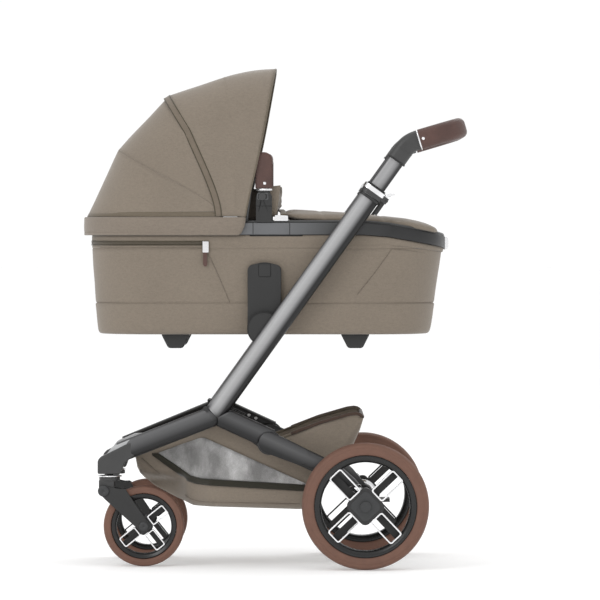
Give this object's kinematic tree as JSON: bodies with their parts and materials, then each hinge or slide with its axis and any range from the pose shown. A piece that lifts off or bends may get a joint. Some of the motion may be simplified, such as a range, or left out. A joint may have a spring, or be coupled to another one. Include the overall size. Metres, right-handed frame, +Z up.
{
  "type": "baby stroller",
  "caption": "Folding pram chassis with swivelling front castors, large rear wheels, an underseat basket and a lift-off carrycot with a folding canopy.",
  "frame": {"origin": "on the ground at the middle of the pram's bounding box", "axes": "+X towards the push handle, +Y towards the pram's right side, +Z up"},
  "size_m": [0.8834, 0.606, 1.149],
  "materials": {
    "frame_tube": "satin anodised dark grey",
    "bright_tube": "satin anodised",
    "pins": "satin",
    "dark_plastic": "fine moulded grain",
    "black_plastic": "fine moulded grain",
    "silver_trim": "satin chrome",
    "brown_leather": "stitched smooth grain",
    "brown_tyre": "matt rubber",
    "melange_cloth": "melange weave",
    "mattress_cover": "soft cotton",
    "bow_wire": "satin black"
  },
  "bodies": {
    "push_frame": {"push_tube_left": "frame_tube", "push_tube_right": "frame_tube", "collar_left": "dark_plastic", "collar_right": "dark_plastic", "seat_hub_left": "black_plastic", "seat_hub_right": "black_plastic", "knee_pins": "pins"},
    "handle": {"inner_tubes": "bright_tube", "handle_elbow_left": "dark_plastic", "handle_elbow_right": "dark_plastic", "handlebar_core": "bright_tube", "handlebar_grip": "brown_leather"},
    "clamp_lever_left": {"clamp_lever_left": "silver_trim"},
    "clamp_lever_right": {"clamp_lever_right": "silver_trim"},
    "front_frame": {"front_leg_left": "frame_tube", "front_leg_right": "frame_tube", "rear_arm_left": "frame_tube", "rear_arm_right": "frame_tube", "front_bridge": "dark_plastic", "castor_housings": "dark_plastic", "leg_pins": "pins", "basket": "melange_cloth"},
    "castor_left": {"castor_yoke_left": "dark_plastic"},
    "castor_right": {"castor_yoke_right": "dark_plastic"},
    "fork_left": {"fork_left": "dark_plastic"},
    "fork_right": {"fork_right": "dark_plastic"},
    "front_wheel_left": {"front_tyre_left": "brown_tyre", "front_rim_left": "black_plastic"},
    "front_wheel_right": {"front_tyre_right": "brown_tyre", "front_rim_right": "black_plastic"},
    "rear_frame": {"rear_leg_left": "frame_tube", "rear_leg_right": "frame_tube", "rear_axle": "bright_tube"},
    "rear_wheel_left": {"rear_tyre_left": "brown_tyre", "rear_rim_left": "black_plastic"},
    "rear_wheel_right": {"rear_tyre_right": "brown_tyre", "rear_rim_right": "black_plastic"},
    "brake_pedal": {"brake_pedal": "dark_plastic"},
    "adapters": {"adapter_left": "black_plastic", "adapter_right": "black_plastic"},
    "adapter_button_left": {"adapter_button_left": "dark_plastic"},
    "adapter_button_right": {"adapter_button_right": "dark_plastic"},
    "carrycot": {"cot_shell": "melange_cloth", "cot_rim": "dark_plastic", "cot_feet": "black_plastic", "mattress": "mattress_cover", "apron": "melange_cloth", "canopy_band": "melange_cloth", "carry_posts": "black_plastic"},
    "canopy_rear": {"canopy_rear": "melange_cloth", "bow_rear": "bow_wire"},
    "canopy_middle": {"canopy_middle": "melange_cloth", "bow_middle": "bow_wire"},
    "canopy_front": {"canopy_front": "melange_cloth", "bow_front": "bow_wire"},
    "carry_handle": {"carry_grip": "brown_leather", "carry_blocks": "black_plastic"},
    "post_button_left": {"post_button_left": "dark_plastic"},
    "post_button_right": {"post_button_right": "dark_plastic"},
    "zip_slider": {"zip_slider": "silver_trim"}
  },
  "joints": [
    {"name": "handle_telescope", "type": "slide", "parent": "push_frame", "child": "handle", "axis": [0.5821, 0, 0.8131], "range_m": [-0.07, 0.05]},
    {"name": "clamp_lever_left_flip", "type": "hinge", "parent": "push_frame", "child": "clamp_lever_left", "pos_m": [0.25507, -0.232, 0.84045], "axis": [0, 1, 0], "range_deg": [-100, 0]},
    {"name": "clamp_lever_right_flip", "type": "hinge", "parent": "push_frame", "child": "clamp_lever_right", "pos_m": [0.25507, 0.232, 0.84045], "axis": [0, 1, 0], "range_deg": [-100, 0]},
    {"name": "chassis_fold", "type": "hinge", "parent": "push_frame", "child": "front_frame", "pos_m": [-0.155, 0, 0.3665], "axis": [0, 1, 0], "range_deg": [0, 130]},
    {"name": "rear_leg_fold", "type": "hinge", "parent": "front_frame", "child": "rear_frame", "pos_m": [-0.01, 0, 0.288], "axis": [0, 1, 0], "range_deg": [0, 98]},
    {"name": "castor_left_swivel", "type": "hinge", "parent": "front_frame", "child": "castor_left", "pos_m": [-0.378, -0.155, 0.206], "axis": [0, 0, 1], "continuous": true},
    {"name": "fork_left_spring", "type": "hinge", "parent": "castor_left", "child": "fork_left", "pos_m": [-0.391, -0.155, 0.1745], "axis": [0, 1, 0], "range_deg": [-6, 0], "stiffness_Nm_per_rad": 30, "springref_deg": 11.46},
    {"name": "front_wheel_left_spin", "type": "hinge", "parent": "fork_left", "child": "front_wheel_left", "pos_m": [-0.299, -0.155, 0.093], "axis": [0, 1, 0], "continuous": true},
    {"name": "rear_wheel_left_spin", "type": "hinge", "parent": "rear_frame", "child": "rear_wheel_left", "pos_m": [0.209, -0.2775, 0.145], "axis": [0, 1, 0], "continuous": true},
    {"name": "castor_right_swivel", "type": "hinge", "parent": "front_frame", "child": "castor_right", "pos_m": [-0.378, 0.155, 0.206], "axis": [0, 0, 1], "continuous": true},
    {"name": "fork_right_spring", "type": "hinge", "parent": "castor_right", "child": "fork_right", "pos_m": [-0.391, 0.155, 0.1745], "axis": [0, 1, 0], "range_deg": [-6, 0], "stiffness_Nm_per_rad": 30, "springref_deg": 11.46},
    {"name": "front_wheel_right_spin", "type": "hinge", "parent": "fork_right", "child": "front_wheel_right", "pos_m": [-0.299, 0.155, 0.093], "axis": [0, 1, 0], "continuous": true},
    {"name": "rear_wheel_right_spin", "type": "hinge", "parent": "rear_frame", "child": "rear_wheel_right", "pos_m": [0.209, 0.2775, 0.145], "axis": [0, 1, 0], "continuous": true},
    {"name": "brake_pedal_tip", "type": "hinge", "parent": "rear_frame", "child": "brake_pedal", "pos_m": [0.209, 0, 0.145], "axis": [0, 1, 0], "range_deg": [-25, 0]},
    {"name": "adapter_lift", "type": "slide", "parent": "push_frame", "child": "adapters", "axis": [-0.5, 0, 0.866], "range_m": [0, 0.39]},
    {"name": "adapter_button_left_press", "type": "slide", "parent": "adapters", "child": "adapter_button_left", "axis": [0, 1, 0], "range_m": [0, 0.002], "stiffness_N_per_m": 400, "springref_m": -0.001},
    {"name": "adapter_button_right_press", "type": "slide", "parent": "adapters", "child": "adapter_button_right", "axis": [0, -1, 0], "range_m": [0, 0.002], "stiffness_N_per_m": 400, "springref_m": -0.001},
    {"name": "carrycot_lift", "type": "slide", "parent": "adapters", "child": "carrycot", "axis": [-0.5, 0, 0.866], "range_m": [0, 0.3]},
    {"name": "canopy_rear_fold", "type": "hinge", "parent": "carrycot", "child": "canopy_rear", "pos_m": [-0.062, 0, 0.788], "axis": [0, 1, 0], "range_deg": [-20.1, 0], "deforming": ["canopy_rear"]},
    {"name": "canopy_middle_fold", "type": "hinge", "parent": "canopy_rear", "child": "canopy_middle", "pos_m": [-0.062, 0, 0.788], "axis": [0, 1, 0], "range_deg": [-20.1, 0], "deforming": ["canopy_middle"]},
    {"name": "canopy_front_fold", "type": "hinge", "parent": "canopy_middle", "child": "canopy_front", "pos_m": [-0.062, 0, 0.788], "axis": [0, 1, 0], "range_deg": [-30, 0], "deforming": ["canopy_front"]},
    {"name": "carry_handle_fold", "type": "hinge", "parent": "carrycot", "child": "carry_handle", "pos_m": [-0.0226, 0, 0.8465], "axis": [0, 1, 0], "range_deg": [0, 75]},
    {"name": "post_button_left_press", "type": "slide", "parent": "carrycot", "child": "post_button_left", "axis": [0, 1, 0], "range_m": [0, 0.0015], "stiffness_N_per_m": 400, "springref_m": -0.001},
    {"name": "post_button_right_press", "type": "slide", "parent": "carrycot", "child": "post_button_right", "axis": [0, -1, 0], "range_m": [0, 0.0015], "stiffness_N_per_m": 400, "springref_m": -0.001},
    {"name": "zip_slide", "type": "slide", "parent": "carrycot", "child": "zip_slider", "axis": [1, 0, 0], "range_m": [-0.12, 0]}
  ],
  "couplings": [
    {"joint": "rear_leg_fold", "follows": "chassis_fold", "ratio": 0.75385},
    {"joint": "adapter_lift", "follows": "chassis_fold", "m_per_rad": 0.17},
    {"joint": "canopy_rear_fold", "follows": "canopy_front_fold", "ratio": 0.66667},
    {"joint": "canopy_middle_fold", "follows": "canopy_front_fold", "ratio": 0.66667}
  ]
}
